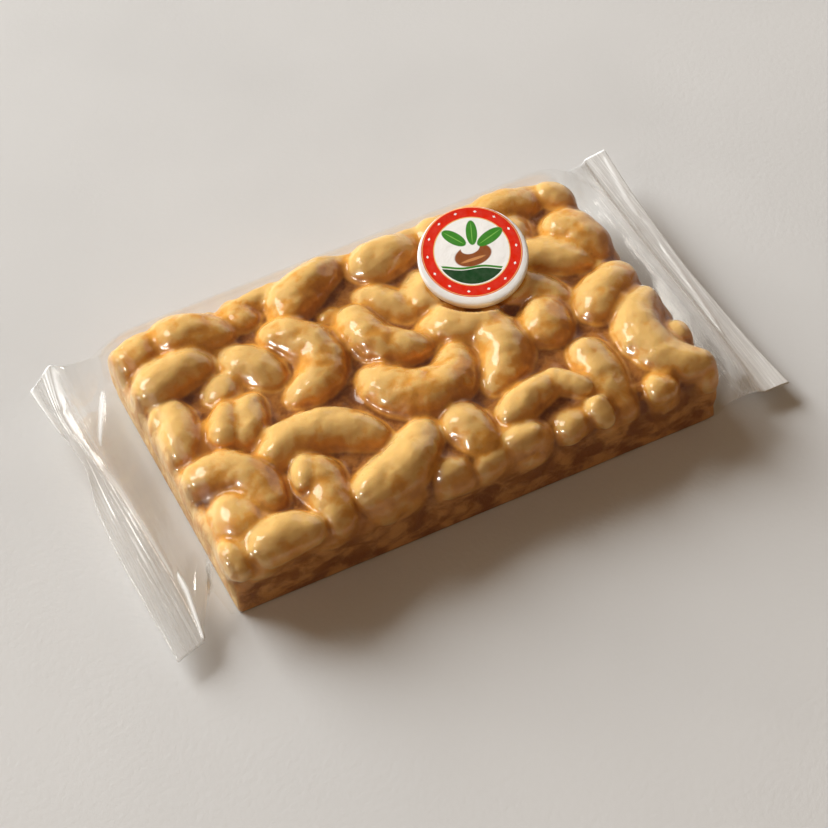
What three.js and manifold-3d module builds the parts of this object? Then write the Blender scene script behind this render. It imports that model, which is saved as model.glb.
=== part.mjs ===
// A bar of cashew brittle sealed in a clear bag, with a round label standing on top of the bag.
// Millimetres, +Z up. The bar rests on z = 0 with its long side along X; the origin is under its middle.
import * as THREE from 'three';
import { mergeVertices } from 'three/addons/utils/BufferGeometryUtils.js';
import Module from 'manifold-3d';

// Driving dimensions.
const BAR_LENGTH = 99.4; // along X, without the nuts that stand out of the walls
const BAR_WIDTH = 60.4; // along Y, the same
const CARAMEL_TOP = 12.4; // level of the caramel between the nuts
const FRONT_INSET = 0.3; // the middle of the front wall's foot lies this far behind BAR_WIDTH
const FRONT_LEAN = 0.19; // the front wall leans back by this much for each millimetre of height
const FRONT_SKEW = 0.022; // and comes forward by this much for each millimetre to the right
const CORNER_RADIUS = 5;
const EDGE_BEVEL = 0.9; // round the underside and round the top
const NUT_HEIGHT_SHARE = 0.86; // a nut's thickness as a share of its width
const WALL_NUT_DEPTH = 1.2; // how far the nuts in the walls stand out of them
const WALL_NUT_LENGTH = [8, 13]; // shortest and longest, where they are not given one by one
const WALL_NUT_WIDTH = [5, 7.4];
const WALL_UPPER_LEVEL = 8.4; // heights of the two rows of nuts in a wall
const WALL_LOWER_LEVEL = 3.5;
const NUT_TAPER = 0.1; // how much thinner a nut's second end is than its first
const NUT_FULLNESS = 0.74; // under 1 makes a nut's ends blunter than an ellipsoid's
const SEAL_THICKNESS = 0.8; // of the crimped strip at each end of the bag
const SEAL_RIDGES = 4; // that run along the strip
const RIDGE_HEIGHT = 0.45;
const WEB_ROOT = 46; // the film between bar and strip starts inside the bar, this far from the middle
const WEB_ROOT_WIDTH = 58.6;
const WEB_ROOT_HEIGHT = 12.6;
const WEB_WAIST = 51; // it leaves the bar's end here
const WEB_WAIST_HEIGHT = 10.4;
const WEB_MIDDLE = 6.5; // level of its middle at the bar
const LABEL_DIAMETER = 21.6;
const LABEL_THICKNESS = 1.5;
const LABEL_EDGE = 0.5; // rounding of the label's rim
const LABEL_SEGMENTS = 40;
const LABEL_TILT = 17.5; // degrees, towards the front left
const LABEL_FACING = 26; // degrees from the front to the left
const LABEL_CENTRE = new THREE.Vector3(20.8, 13.5, 18.5); // middle of its upper face
const GAP = 0.3; // between the label and the bag
const SEED = 11;

// The ends of the bag. Each crimped strip is given by its four corners: the inner side is towards the bar,
// and the strip hangs lower at the front than at the back. waistFront and waistBack say how far the film
// reaches to the front and back where it leaves the bar: at the front left it is tucked in.
const LEFT_END = {
  side: -1,
  waistFront: -22,
  waistBack: 31,
  innerFront: new THREE.Vector3(-58.2, -33.4, 3.2),
  innerBack: new THREE.Vector3(-59.8, 36.6, 7.4),
  outerFront: new THREE.Vector3(-64, -35.2, 3),
  outerBack: new THREE.Vector3(-65.6, 32.2, 6.8),
};
const RIGHT_END = {
  side: 1,
  waistFront: -29.5,
  waistBack: 31,
  innerFront: new THREE.Vector3(59.2, -32.8, 3.2),
  innerBack: new THREE.Vector3(60, 36.4, 7.4),
  outerFront: new THREE.Vector3(64.6, -33.2, 3.2),
  outerBack: new THREE.Vector3(65.6, 37.4, 7.2),
};

const rad = THREE.MathUtils.degToRad;

// The nuts on the top, each given by the middle of its centre line seen from above (x, y), the direction that
// it lies in there (heading, degrees from +X), its length along that line, its width, the angle that it curls
// through (curl, to the left of its heading if positive), its highest level (top), and, where it isn't level,
// how far its second end lies above its first (rise).
const TOP_NUTS = [
  // back row, left to right
  { x: -44.6, y: 26.5, heading: 20, length: 12.5, width: 8.6, top: 14.6 },
  { x: -34, y: 25.6, heading: -22, length: 17, width: 10.4, curl: -60, top: 15.8 },
  { x: -24, y: 26.4, heading: 84, length: 11, width: 8.4, top: 13.9 },
  { x: -9.8, y: 26.6, heading: 22, length: 19.5, width: 8.6, curl: -14, top: 15.9 },
  { x: -12.6, y: 23, heading: 27, length: 14, width: 7, top: 15.3 },
  { x: 7.2, y: 26.2, heading: 8, length: 16.5, width: 9.8, curl: -30, top: 15.7 },
  { x: 21.5, y: 26.8, heading: -4, length: 14, width: 9, top: 15.2 },
  { x: 35.6, y: 27, heading: -8, length: 15.5, width: 8.6, curl: -20, top: 15.2 },
  { x: 46, y: 25.2, heading: -58, length: 10, width: 7.6, top: 14.2 },
  // the small nuts behind them, along the back rim
  { x: -37, y: 28.2, heading: 6, length: 14, width: 5, top: 13.6 },
  { x: -19, y: 28.4, heading: 8, length: 14, width: 5.4, top: 13.9 },
  { x: -1.6, y: 28.6, heading: -4, length: 15, width: 5.2, top: 14 },
  { x: 14.6, y: 28.6, heading: 4, length: 15, width: 5.2, top: 14 },
  { x: 28.6, y: 28.6, heading: 0, length: 14, width: 5.2, top: 14 },
  { x: 40, y: 28.4, heading: -3, length: 12, width: 5, top: 13.8 },
  // second row
  { x: -41.5, y: 17.7, heading: 10, length: 17.5, width: 9.2, curl: -66, top: 15.9 },
  { x: -26.8, y: 12.2, heading: -62, length: 15.5, width: 8.4, curl: -22, top: 14.9 },
  { x: -34.7, y: 10, heading: 65, length: 8.6, width: 7.2, top: 14.2 },
  { x: -14.6, y: 8.6, heading: -98, length: 29, width: 9.8, curl: -166, top: 16, rise: -0.8, taper: 0.2 },
  { x: -8.6, y: 17.6, heading: 0, length: 5, width: 4, top: 13.3 },
  { x: 2.9, y: 15, heading: -56, length: 15.5, width: 8, curl: -45, top: 14.2 },
  { x: -3.8, y: 6.6, heading: -58, length: 23.5, width: 9.4, curl: 112, top: 15.9 },
  { x: 10.2, y: 14.3, heading: 62, length: 13, width: 8, top: 14.6 },
  { x: 24, y: 18.6, heading: 20, length: 15, width: 9.5, curl: -25, top: 17.4 },
  { x: 33.6, y: 20.4, heading: 70, length: 10, width: 7, top: 14.2 },
  { x: 37.8, y: 10, heading: -36, length: 17.5, width: 9.2, curl: 20, top: 14.9 },
  { x: 44.4, y: 13.1, heading: -74, length: 16.5, width: 10.6, curl: -10, top: 15.8 },
  // middle row
  { x: -47.8, y: 9, heading: 62, length: 6.5, width: 4, top: 13.6 },
  { x: -45.7, y: 4.6, heading: 76, length: 16, width: 7.2, top: 14.9 },
  { x: -43.2, y: 0.2, heading: 52, length: 13, width: 5.4, top: 13.3 },
  { x: -37.4, y: 1.5, heading: 62, length: 11.5, width: 5.8, curl: 8, top: 15.6 },
  { x: -33.5, y: 0.8, heading: 62, length: 14, width: 7.2, curl: -14, top: 15.3 },
  { x: -0.8, y: -9.3, heading: -8, length: 30.5, width: 10.8, curl: 166, top: 15.9 },
  { x: 17.2, y: -2.4, heading: -78, length: 33, width: 10.4, curl: -160, top: 15.8 },
  { x: 18.5, y: 8, heading: 40, length: 12, width: 7, top: 14.6 },
  { x: 29.4, y: 4.8, heading: -40, length: 17, width: 7.8, curl: -75, top: 14.7 },
  { x: 27, y: -4, heading: 64, length: 13.4, width: 10, curl: 12, top: 15.6 },
  { x: 41.3, y: -2.8, heading: 34, length: 18, width: 9.6, curl: -24, top: 15.8 },
  // front rows
  { x: -39.4, y: -10.4, heading: -50, length: 23.5, width: 9, curl: -122, top: 15.8 },
  { x: -45, y: -17.6, heading: -86, length: 13, width: 7.2, top: 14.1 },
  { x: -22.8, y: -7.6, heading: -14, length: 28, width: 9.4, curl: -90, top: 15.9 },
  { x: 40.9, y: -17.6, heading: -86, length: 31, width: 9.2, curl: 142, top: 15.7, rise: -0.5 },
  { x: 48.4, y: -18, heading: 80, length: 6.2, width: 5.4, top: 13.6 },
  { x: -48, y: -25.4, heading: -78, length: 8.5, width: 6.2, top: 14, rise: -1.5 },
  { x: -38.7, y: -25.8, heading: -6, length: 15, width: 8, curl: -34, top: 15.6, rise: 0.4 },
  { x: -29.6, y: -15.9, heading: 66, length: 8.5, width: 4.6, curl: -10, top: 15.5 },
  { x: -27.6, y: -20.8, heading: -94, length: 17.5, width: 8.2, top: 15.4, rise: -2 },
  { x: -12.8, y: -22, heading: 26, length: 24, width: 9, curl: 48, top: 15.7 },
  { x: 1.9, y: -20.8, heading: -80, length: 14, width: 9.2, top: 15.2, rise: -2 },
  { x: 14.6, y: -19.2, heading: 20, length: 16, width: 6.4, curl: -14, top: 15.4, rise: 0.4 },
  { x: 22.6, y: -19.5, heading: -52, length: 10, width: 4.8, top: 15.2 },
  { x: 9.4, y: -25.8, heading: -70, length: 10.5, width: 8.4, top: 13.4, rise: -4 },
  { x: 19.4, y: -27, heading: 10, length: 8, width: 6, top: 12.8 },
  { x: 25, y: -27.8, heading: -80, length: 6.5, width: 4.6, top: 14.2, rise: -2 },
  { x: 30, y: -20.6, heading: -88, length: 19.5, width: 8.6, top: 15.4, rise: -4 },
  { x: 38.2, y: -27.4, heading: 0, length: 7, width: 5.8, top: 13.4 },
];

// The nuts that show on the front wall below the top row: x and height of the middle, the slope of its length
// (degrees, up to the right), length, width and curl.
const FRONT_NUTS = [
  { x: -43.5, z: 7.6, slope: -42, length: 10, width: 5.6 },
  { x: -37, z: 9.6, slope: 0, length: 12, width: 7 },
  { x: -38, z: 3.4, slope: 8, length: 15, width: 5.4, curl: 20 },
  { x: -29, z: 8.4, slope: 12, length: 11, width: 6 },
  { x: -24.6, z: 5.8, slope: 66, length: 9, width: 5.2 },
  { x: -17, z: 9.2, slope: -6, length: 13, width: 8, curl: 14 },
  { x: -18, z: 3.6, slope: 30, length: 10, width: 5.2 },
  { x: -5, z: 8.6, slope: -12, length: 10, width: 7.6 },
  { x: -7, z: 3, slope: -10, length: 12, width: 4.8 },
  { x: 2.4, z: 10.8, slope: 0, length: 6, width: 5 },
  { x: 7, z: 5.8, slope: -22, length: 11, width: 4.6 },
  { x: 10, z: 9.6, slope: 10, length: 10.5, width: 8 },
  { x: 15.6, z: 3.8, slope: 50, length: 9, width: 5.4 },
  { x: 27.4, z: 5.6, slope: -58, length: 9, width: 6 },
  { x: 39, z: 7.2, slope: -62, length: 9.5, width: 7 },
  { x: 38, z: 2.8, slope: 4, length: 11, width: 4.8 },
];

// A small repeatable random generator, 0 to 1.
function makeRandom(seed) {
  let state = seed;
  return () => {
    state = (state * 1664525 + 1013904223) % 4294967296;
    return state / 4294967296;
  };
}

// A nut with its middle at the origin and its length along X: a blunt ellipsoid, tapered and bent in XY.
function nutGeometry({ length, width, curl = 0, rise = 0, taper = NUT_TAPER }) {
  const around = width > 8 ? 10 : 8;
  const along = length > 20 ? 9 : 6;
  const geometry = new THREE.SphereGeometry(1, around, along);
  geometry.rotateZ(-Math.PI / 2);
  const position = geometry.attributes.position;
  const point = new THREE.Vector3();
  const bend = rad(curl);
  const roundWidth = width / Math.cos(Math.PI / around) ** 0.7; // makes up for the flats of the facets
  for (let i = 0; i < position.count; i++) {
    point.fromBufferAttribute(position, i);
    const t = Math.sign(point.x) * Math.pow(Math.abs(point.x), NUT_FULLNESS);
    const round = Math.hypot(point.y, point.z);
    const swell = round > 1e-6 ? Math.pow(round, NUT_FULLNESS) / round : 0;
    const section = (roundWidth / 2) * swell * (1 - taper * t);
    const side = point.y * section;
    const up = point.z * section * NUT_HEIGHT_SHARE + (rise / 2) * t;
    const run = (length / 2) * t;
    if (Math.abs(bend) < 0.01) {
      position.setXYZ(i, run, side, up);
      continue;
    }
    const radius = length / bend;
    const angle = run / radius;
    position.setXYZ(i, (radius - side) * Math.sin(angle), radius - (radius - side) * Math.cos(angle), up);
  }
  return geometry;
}

function topNut(nut) {
  const geometry = nutGeometry(nut);
  const depth = (nut.width * NUT_HEIGHT_SHARE) / 2;
  geometry.rotateZ(rad(nut.heading));
  geometry.translate(nut.x, nut.y, nut.top - depth - Math.abs(nut.rise ?? 0) / 4);
  return geometry;
}

// How far the front wall lies behind a plain box's front face.
function frontShift(x, z) {
  return FRONT_INSET + FRONT_LEAN * THREE.MathUtils.clamp(z, 0, CARAMEL_TOP) - FRONT_SKEW * x;
}

// A nut on a wall: it lies against the wall's plane, half sunk. The wall faces -Y before it is turned.
function wallNut({ x, z, slope, length, width, curl = 0 }, wallDistance, wallTurn) {
  const geometry = nutGeometry({ length, width, curl });
  geometry.rotateZ(rad(slope));
  geometry.rotateX(Math.PI / 2);
  const sunk = (width * NUT_HEIGHT_SHARE) / 2 - WALL_NUT_DEPTH;
  geometry.translate(x, -wallDistance + sunk, z);
  geometry.rotateZ(rad(wallTurn));
  return geometry;
}

// A row of nuts along a wall that is not given nut by nut: slopes, levels and curls vary about their middles.
function wallRow(random, span, level, wallDistance, wallTurn) {
  const nuts = [];
  const margin = WALL_NUT_LENGTH[0] / 2;
  let x = margin - span / 2;
  while (x < span / 2 - margin) {
    const length = THREE.MathUtils.lerp(...WALL_NUT_LENGTH, random());
    const slope = 90 * (random() - 0.5);
    const width = THREE.MathUtils.lerp(...WALL_NUT_WIDTH, random());
    const z = level + 2 * (random() - 0.5);
    const curl = 40 * (random() - 0.5);
    nuts.push(wallNut({ x, z, slope, length, width, curl }, wallDistance, wallTurn));
    x += length * (0.7 + 0.3 * random());
  }
  return nuts;
}

function caramelSlab() {
  const halfLength = BAR_LENGTH / 2 - EDGE_BEVEL;
  const halfWidth = BAR_WIDTH / 2 - EDGE_BEVEL;
  const r = CORNER_RADIUS - EDGE_BEVEL;
  const outline = new THREE.Shape();
  outline.absarc(halfLength - r, halfWidth - r, r, 0, Math.PI / 2);
  outline.absarc(-halfLength + r, halfWidth - r, r, Math.PI / 2, Math.PI);
  outline.absarc(-halfLength + r, -halfWidth + r, r, Math.PI, 1.5 * Math.PI);
  outline.absarc(halfLength - r, -halfWidth + r, r, 1.5 * Math.PI, 2 * Math.PI);
  const geometry = new THREE.ExtrudeGeometry(outline, {
    depth: CARAMEL_TOP - 2 * EDGE_BEVEL,
    bevelThickness: EDGE_BEVEL,
    bevelSize: EDGE_BEVEL,
    bevelSegments: 2,
    curveSegments: 5,
  });
  geometry.translate(0, 0, EDGE_BEVEL);
  const position = geometry.attributes.position;
  for (let i = 0; i < position.count; i++) {
    const y = position.getY(i);
    const share = THREE.MathUtils.clamp((-2 * y) / BAR_WIDTH, 0, 1);
    position.setY(i, y + share * frontShift(position.getX(i), position.getZ(i)));
  }
  return geometry;
}

// A point in the middle of the film's depth: station 0 is the root, 1 the waist and the rest run across the
// strip; across goes from 0 at the front to 1 at the back.
function endMiddle(end, station, across) {
  if (station === 0) {
    const y = (across - 0.5) * WEB_ROOT_WIDTH;
    return new THREE.Vector3(end.side * WEB_ROOT, y, WEB_MIDDLE);
  }
  if (station === 1) {
    const y = THREE.MathUtils.lerp(end.waistFront, end.waistBack, across);
    return new THREE.Vector3(end.side * WEB_WAIST, y, WEB_MIDDLE);
  }
  const outwards = (station - 2) / (2 * SEAL_RIDGES);
  const front = end.innerFront.clone().lerp(end.outerFront, outwards);
  const back = end.innerBack.clone().lerp(end.outerBack, outwards);
  return front.lerp(back, across);
}

// One end of the bag, shaped from a box: film that flattens from the bar's end to the ridged strip.
function bagEnd(end) {
  const steps = 1 + 2 * SEAL_RIDGES;
  const geometry = new THREE.BoxGeometry(steps + 1, 1, 2, steps + 1, 6, 1);
  const position = geometry.attributes.position;
  const heights = [WEB_ROOT_HEIGHT, WEB_WAIST_HEIGHT];
  for (let i = 0; i < position.count; i++) {
    const fromLeft = Math.round(position.getX(i) + (steps + 1) / 2);
    const station = end.side > 0 ? fromLeft : steps + 1 - fromLeft;
    const middle = endMiddle(end, station, position.getY(i) + 0.5);
    const halfHeight = (heights[station] ?? SEAL_THICKNESS) / 2;
    const ridge = station > 2 && station % 2 === 1 ? RIDGE_HEIGHT : 0;
    position.setXYZ(i, middle.x, middle.y, middle.z + position.getZ(i) * halfHeight + ridge);
  }
  return geometry;
}

function labelGeometry() {
  const r = LABEL_DIAMETER / 2;
  const outline = new THREE.Path();
  outline.moveTo(0, -LABEL_THICKNESS);
  outline.lineTo(r - LABEL_EDGE, -LABEL_THICKNESS);
  outline.absarc(r - LABEL_EDGE, -LABEL_THICKNESS + LABEL_EDGE, LABEL_EDGE, -Math.PI / 2, 0);
  outline.absarc(r - LABEL_EDGE, -LABEL_EDGE, LABEL_EDGE, 0, Math.PI / 2);
  outline.lineTo(0, 0);
  const geometry = new THREE.LatheGeometry(outline.getPoints(2), LABEL_SEGMENTS);
  return geometry.rotateX(Math.PI / 2);
}

const wasm = await Module();
wasm.setup();

function toSolid(geometry) {
  const plain = geometry.clone();
  plain.deleteAttribute('normal');
  plain.deleteAttribute('uv');
  const merged = mergeVertices(plain, 1e-4);
  const vertProperties = new Float32Array(merged.attributes.position.array);
  const triVerts = new Uint32Array(merged.index.array);
  return new wasm.Manifold(new wasm.Mesh({ numProp: 3, vertProperties, triVerts }));
}

function toGeometry(solid) {
  const mesh = solid.getMesh();
  const geometry = new THREE.BufferGeometry();
  geometry.setAttribute('position', new THREE.BufferAttribute(mesh.vertProperties, 3));
  geometry.setIndex(new THREE.BufferAttribute(mesh.triVerts, 1));
  geometry.computeVertexNormals();
  return geometry;
}

function bagSolid() {
  const random = makeRandom(SEED);
  const front = BAR_WIDTH / 2;
  const end = BAR_LENGTH / 2;
  const pieces = [
    ...TOP_NUTS.map(topNut),
    ...FRONT_NUTS.map((nut) => wallNut(nut, front - frontShift(nut.x, nut.z), 0)),
    ...wallRow(random, BAR_LENGTH, WALL_UPPER_LEVEL, front, 180),
    ...wallRow(random, BAR_LENGTH, WALL_LOWER_LEVEL, front, 180),
    ...wallRow(random, BAR_WIDTH, WALL_UPPER_LEVEL, end, 90),
    ...wallRow(random, BAR_WIDTH, WALL_LOWER_LEVEL, end, 90),
    ...wallRow(random, BAR_WIDTH, WALL_UPPER_LEVEL, end, -90),
    bagEnd(LEFT_END),
    bagEnd(RIGHT_END),
  ];
  const joined = pieces.reduce((solid, piece) => solid.add(toSolid(piece)), toSolid(caramelSlab()));
  const above = new THREE.BoxGeometry(2 * BAR_LENGTH, 2 * BAR_WIDTH, BAR_WIDTH);
  return joined.intersect(toSolid(above.translate(0, 0, BAR_WIDTH / 2)));
}

// Its own frame: +Z is out of its face, the origin is the middle of that face.
function placeLabel(object) {
  object.position.copy(LABEL_CENTRE);
  object.rotation.set(rad(LABEL_TILT), 0, rad(-LABEL_FACING), 'ZXY');
}

// The space that the label and all above it take up.
function labelRoom() {
  const r = LABEL_DIAMETER / 2 + GAP;
  const room = new THREE.CylinderGeometry(r, r, LABEL_DIAMETER, LABEL_SEGMENTS).rotateX(Math.PI / 2);
  room.translate(0, 0, LABEL_DIAMETER / 2 - LABEL_THICKNESS - GAP);
  const holder = new THREE.Object3D();
  placeLabel(holder);
  holder.updateMatrixWorld();
  return room.applyMatrix4(holder.matrixWorld);
}

const bagMaterial = new THREE.MeshStandardMaterial({ color: 0xd99c4e, roughness: 0.28, metalness: 0 });
const labelMaterial = new THREE.MeshStandardMaterial({ color: 0xc8371e, roughness: 0.35, metalness: 0 });

const bag = new THREE.Mesh(toGeometry(bagSolid().subtract(toSolid(labelRoom()))), bagMaterial);
bag.name = 'bag';

const label = new THREE.Mesh(labelGeometry(), labelMaterial);
label.name = 'label';
placeLabel(label);

const brittlePack = new THREE.Group();
brittlePack.add(bag, label);

export default brittlePack;
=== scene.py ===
"""Finishes a bagged bar of cashew brittle: nuts in caramel, clear film and a round label."""

import math
import random

import bpy
import numpy as np
from mathutils import Matrix, Quaternion, Vector, noise
from mathutils.bvhtree import BVHTree


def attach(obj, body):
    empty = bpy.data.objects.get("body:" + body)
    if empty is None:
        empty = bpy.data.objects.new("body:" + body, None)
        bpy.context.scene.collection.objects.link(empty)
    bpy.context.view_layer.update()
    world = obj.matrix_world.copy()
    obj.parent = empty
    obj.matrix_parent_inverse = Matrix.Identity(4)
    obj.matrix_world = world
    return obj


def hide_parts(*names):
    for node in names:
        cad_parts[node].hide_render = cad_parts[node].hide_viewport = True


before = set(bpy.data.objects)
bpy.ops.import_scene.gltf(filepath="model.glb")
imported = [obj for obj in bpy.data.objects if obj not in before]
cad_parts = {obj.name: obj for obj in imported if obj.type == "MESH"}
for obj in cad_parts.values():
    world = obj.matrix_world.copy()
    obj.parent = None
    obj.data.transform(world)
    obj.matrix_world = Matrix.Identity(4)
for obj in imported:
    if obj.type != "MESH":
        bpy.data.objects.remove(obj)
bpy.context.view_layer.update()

bl_info = {
    "name": "Bagged nut brittle",
    "version": (1, 0, 0),
    "blender": (4, 5, 0),
    "location": "3D View > Sidebar > Brittle",
    "description": "Builds a bar of cashew brittle in a clear film bag with a round label",
    "category": "Add Mesh",
}

MM = 0.001
BODY = "root"

# The bar, in millimetres. Its long side lies along X and it rests on z = 0.
BAR_LENGTH = 99.4
BAR_WIDTH = 60.4
CARAMEL_TOP = 12.4
CORNER_RADIUS = 3.4
CORNER_STEPS = 6
EDGE_BEVEL = 0.9
SLAB_DEPTH = 4  # the slab reaches this far under the floor until it is cut flat
CUTTER_SIZE = 0.2  # of the box that cuts it, in metres
UNDERSIDE = 0.14  # level of the bar's underside, on the film's lower layer
FRONT_SETBACK = 0.3  # of the front wall's foot, at the middle of the bar
FRONT_LEAN = 0.19  # the front wall leans back this much for each millimetre of height
FRONT_SKEW = 0.022  # and it comes forward this much for each millimetre to the right

NUT_THICKNESS = 0.86  # a nut's height as a share of its width
NUT_TAPER = 0.1
NUT_FULLNESS = 0.86  # 1 for a plain ball, less for one that is blunt at its ends
NUT_PLUMPNESS = 1.12  # makes up for what the smoothing takes away
BEND_FOCUS = 1.3  # how much of a nut's bend is near its middle
BEND_STEPS = 64
WALL_NUT_DEPTH = 1.2  # how far the nuts in the walls stand out of them
LOW_NUT_DEPTH = 0.7  # and how far those do whose middle is under the next level
LOW_NUT_LEVEL = 6
WALL_NUT_LENGTH = (8, 13)
WALL_NUT_WIDTH = (5, 7.4)
WALL_NUT_SLOPE = 90  # degrees between the steepest two
WALL_NUT_CURL = 40
WALL_NUT_DRIFT = 2  # millimetres between the highest and the lowest of a row
WALL_NUT_PITCH = (0.7, 1)  # from one nut to the next, as a share of its length
WALL_LEVELS = (8.4, 3.5)  # heights of the two rows of nuts in a wall
WALL_SEED = 11
TINT_SEED = 5

WALL_REACH = 0.4  # lumps on the walls are pressed flat beyond this
WALL_PRESS = (0.75, 0.7)  # how flat they get on the end walls, and low on the long ones
WALL_SKIN = 1.6  # near the floor what lies this far behind a wall is drawn out to it
WALL_SMEAR = 0.8  # how much of the walls' relief the cutting smeared away
WALL_COVER = 0.85  # how far the walls' dull crumbs hide the glaze's colours
PRESSED_LEVELS = (8, 5.5)  # the long walls are pressed below the first level, in full below the second
FLUSH_LEVELS = (4, 1.5)  # and so are all four drawn to their plane
CUT_EDGE = (-1.2, -0.4)  # how far out of a wall's plane the smearing starts and is full
CUT_ROUNDS = 24  # of averaging where a wall is smeared
HOLLOW_FILL = 0.12  # a hollow this deep is filled with caramel
HOLLOW_ROUNDS = 16  # of averaging, to find it
FILLINGS = 2
DISPLACEMENTS = (  # each size that is a height of relief: name, kind, grain in millimetres, and out or in
    ("lumps", "CLOUDS", 5.5, 1),
    ("dents", "VORONOI", 7.5, -1),
    ("ripples", "CLOUDS", 3.0, 1),
    ("wrinkles", "CLOUDS", 1.7, 1),
)

# The nuts on the top: x, y, heading, length, width, curl, top, and for some a rise. Heading and curl are in
# degrees; a nut curls to the left of its heading if curl is positive, and rise lifts its second end above its
# first.
TOP_NUTS = [
    # back row, left to right
    (-44.6, 26.5, 20, 12.5, 8.6, 0, 14.6),
    (-34, 25.6, -22, 17, 10.4, -60, 15.8),
    (-24, 26.4, 84, 11, 8.4, 0, 13.9),
    (-9.8, 26.6, 22, 19.5, 8.6, -14, 15.9),
    (-12.6, 23, 27, 14, 7, 0, 15.3),
    (7.2, 26.2, 8, 16.5, 9.8, -30, 15.7),
    (21.5, 26.8, -4, 14, 9, 0, 15.2),
    (35.6, 27, -8, 15.5, 8.6, -20, 15.2),
    (46, 25.2, -58, 10, 7.6, 0, 14.2),
    # the small nuts behind them, along the back rim
    (-37, 28.2, 6, 14, 5, 0, 13.6),
    (-19, 28.4, 8, 14, 5.4, 0, 13.9),
    (-1.6, 28.6, -4, 15, 5.2, 0, 14),
    (14.6, 28.6, 4, 15, 5.2, 0, 14),
    (28.6, 28.6, 0, 14, 5.2, 0, 14),
    (40, 28.4, -3, 12, 5, 0, 13.8),
    # second row
    (-41.5, 17.7, 10, 17.5, 9.2, -66, 15.9),
    (-26.8, 12.2, -62, 15.5, 8.4, -22, 14.9),
    (-34.7, 10, 65, 8.6, 7.2, 0, 14.2),
    (-14.6, 8.6, -98, 29, 9.8, -166, 16, -0.8),
    (-8.6, 17.6, 0, 5, 4, 0, 13.3),
    (2.9, 15, -56, 15.5, 8, -45, 14.2),
    (-3.8, 6.6, -58, 23.5, 9.4, 112, 15.9),
    (10.2, 14.3, 62, 13, 8, 0, 14.6),
    (24, 18.6, 20, 15, 9.5, -25, 17.4),
    (33.6, 20.4, 70, 10, 7, 0, 14.2),
    (37.8, 10, -36, 17.5, 9.2, 20, 14.9),
    (44.4, 13.1, -74, 16.5, 10.6, -10, 15.8),
    # middle row
    (-47.8, 9, 62, 6.5, 4, 0, 13.6),
    (-45.7, 4.6, 76, 16, 7.2, 0, 14.9),
    (-43.2, 0.2, 52, 13, 5.4, 0, 13.3),
    (-37.4, 1.5, 62, 11.5, 5.8, 8, 15.6),
    (-33.5, 0.8, 62, 14, 7.2, -14, 15.3),
    (-0.8, -9.3, -8, 30.5, 10.8, 166, 15.9),
    (17.2, -2.4, -78, 33, 10.4, -160, 15.8),
    (18.5, 8, 40, 12, 7, 0, 14.6),
    (29.4, 4.8, -40, 17, 7.8, -75, 14.7),
    (27, -4, 64, 13.4, 10, 12, 15.6),
    (41.3, -2.8, 34, 18, 9.6, -24, 15.8),
    # front rows
    (-39.4, -10.4, -50, 23.5, 9, -122, 15.8),
    (-44, -18.4, 98, 13.5, 9.6, 0, 14.8),
    (-22.8, -7.6, -14, 28, 9.4, -90, 15.9),
    (40.9, -17.6, -86, 31, 9.2, 142, 15.7, -0.5),
    (48.4, -18, 80, 6.2, 5.4, 0, 13.6),
    (-48, -25.4, -78, 8.5, 6.2, 0, 14, -1.5),
    (-38.7, -25.8, -6, 15, 8, -34, 15.6, 0.4),
    (-29.6, -15.9, 66, 8.5, 4.6, -10, 15.5),
    (-27.6, -20.8, -94, 17.5, 8.2, 0, 15.4, -2),
    (-12.8, -22, 26, 24, 9, 48, 15.7),
    (1.9, -20.8, -80, 14, 9.2, 0, 15.2, -2),
    (14.6, -19.2, 20, 16, 6.4, -14, 15.4, 0.4),
    (22.6, -19.5, -52, 10, 4.8, 0, 15.2),
    (9.4, -25.8, -70, 10.5, 8.4, 0, 13.4, -4),
    (19.4, -27, 10, 8, 6, 0, 12.8),
    (25, -27.8, -80, 6.5, 4.6, 0, 14.2, -2),
    (30, -20.6, -88, 19.5, 8.6, 0, 15.4, -4),
    (38.2, -27.4, 0, 7, 5.8, 0, 13.4),
]

# The nuts that show on the front wall below them: x, z, slope, length, width, curl.
FRONT_NUTS = [
    (-43.5, 7.6, -42, 10, 5.6, 0),
    (-37, 9.6, 0, 12, 7, 0),
    (-38, 3.4, 8, 15, 5.4, 20),
    (-29, 8.4, 12, 11, 6, 0),
    (-24.6, 5.8, 66, 9, 5.2, 0),
    (-17, 9.2, -6, 13, 8, 14),
    (-18, 3.6, 30, 10, 5.2, 0),
    (-5, 8.6, -12, 10, 7.6, 0),
    (-7, 3, -10, 12, 4.8, 0),
    (2.4, 9.4, 8, 9, 5.6, 0),
    (7, 5.8, -22, 11, 4.6, 0),
    (10, 9.6, 10, 10.5, 8, 0),
    (15.6, 3.8, 50, 9, 5.4, 0),
    (27.4, 5.6, -58, 9, 6, 0),
    (39, 7.2, -62, 9.5, 7, 0),
    (38, 2.8, 4, 11, 4.8, 0),
]

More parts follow.
